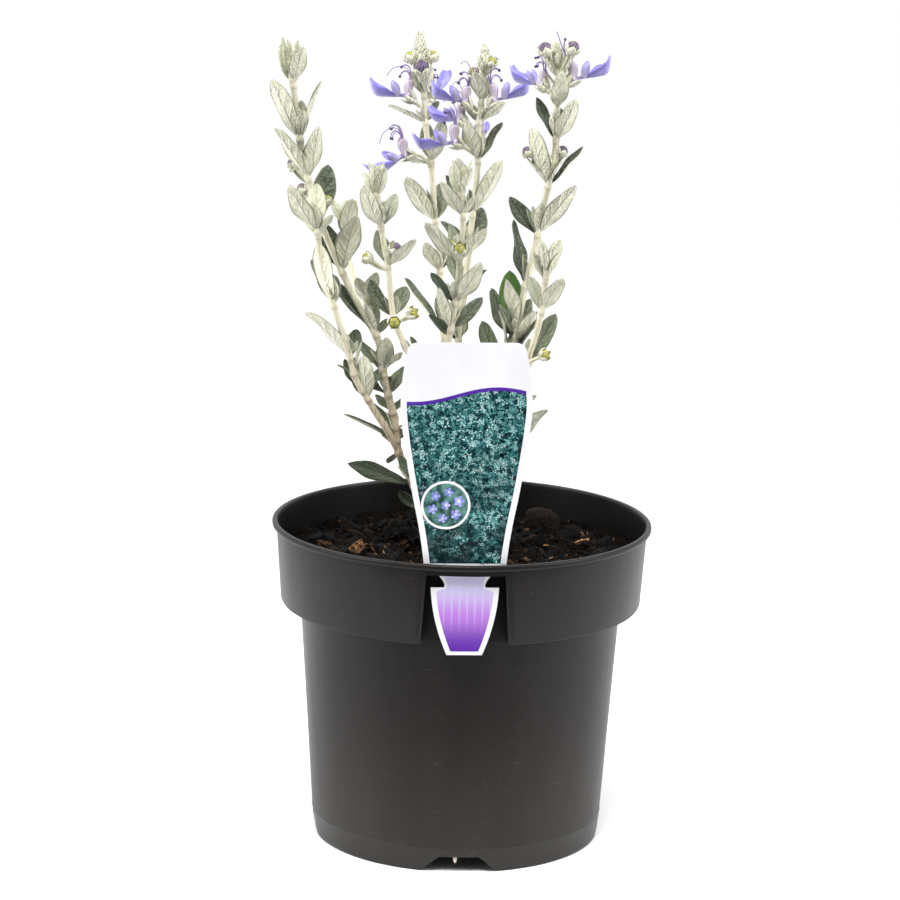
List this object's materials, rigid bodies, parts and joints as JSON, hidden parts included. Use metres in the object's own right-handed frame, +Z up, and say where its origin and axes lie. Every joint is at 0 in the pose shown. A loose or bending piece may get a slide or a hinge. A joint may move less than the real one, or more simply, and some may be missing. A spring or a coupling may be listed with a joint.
{
  "type": "potted plant",
  "caption": "Young potted bush germander with silvery grey-green leaves and lilac-blue one-lipped flowers, in a dark round nursery pot with a printed label.",
  "frame": {"origin": "centre of the pot's foot circle, at the ground", "axes": "+Z up along the pot's axis, -Y towards the viewer, out of the label pocket, +X to the viewer's right"},
  "size_m": [0.1715, 0.17, 0.3605],
  "materials": {
    "pot_plastic": "satin",
    "soil_mix": "rough bark and peat mix, matte",
    "label_plastic": "printed, semi-gloss",
    "foliage": "felted, matte",
    "petals": "soft, matte",
    "bud_lilac": "soft, matte",
    "bud_green": "soft, matte"
  },
  "bodies": {
    "root": {"pot": "pot_plastic", "soil": "soil_mix", "label": "label_plastic", "left_stem": "foliage", "left_stem_bud_1": "bud_lilac", "left_stem_bud_2": "bud_lilac", "left_stem_bud_3": "bud_green", "inner_left_stem": "foliage", "inner_left_stem_bud_1": "bud_green", "inner_left_stem_bud_2": "bud_lilac", "inner_left_stem_bud_3": "bud_green", "inner_left_stem_bud_4": "bud_green", "tall_left_stem": "foliage", "tall_left_stem_bud_1": "bud_green", "tall_left_stem_bud_2": "bud_green", "tall_left_stem_bud_3": "bud_lilac", "tall_left_stem_bloom_4": "petals", "tall_left_stem_bloom_5": "petals", "tall_left_stem_bloom_6": "petals", "centre_flower_stem": "foliage", "centre_flower_stem_bud_1": "bud_lilac", "centre_flower_stem_bud_2": "bud_green", "centre_flower_stem_bloom_3": "petals", "centre_flower_stem_bloom_4": "petals", "centre_flower_stem_bloom_5": "petals", "centre_flower_stem_bloom_6": "petals", "centre_flower_stem_bloom_7": "petals", "centre_leafy_stem": "foliage", "centre_leafy_stem_bud_1": "bud_green", "centre_leafy_stem_bud_2": "bud_green", "right_flower_stem": "foliage", "right_flower_stem_bud_1": "bud_lilac", "right_flower_stem_bud_2": "bud_lilac", "right_flower_stem_bud_3": "bud_lilac", "right_flower_stem_bud_4": "bud_lilac", "right_flower_stem_bloom_5": "petals", "right_flower_stem_bloom_6": "petals", "right_short_stem": "foliage", "right_short_stem_bud_1": "bud_green"}
  },
  "joints": []
}
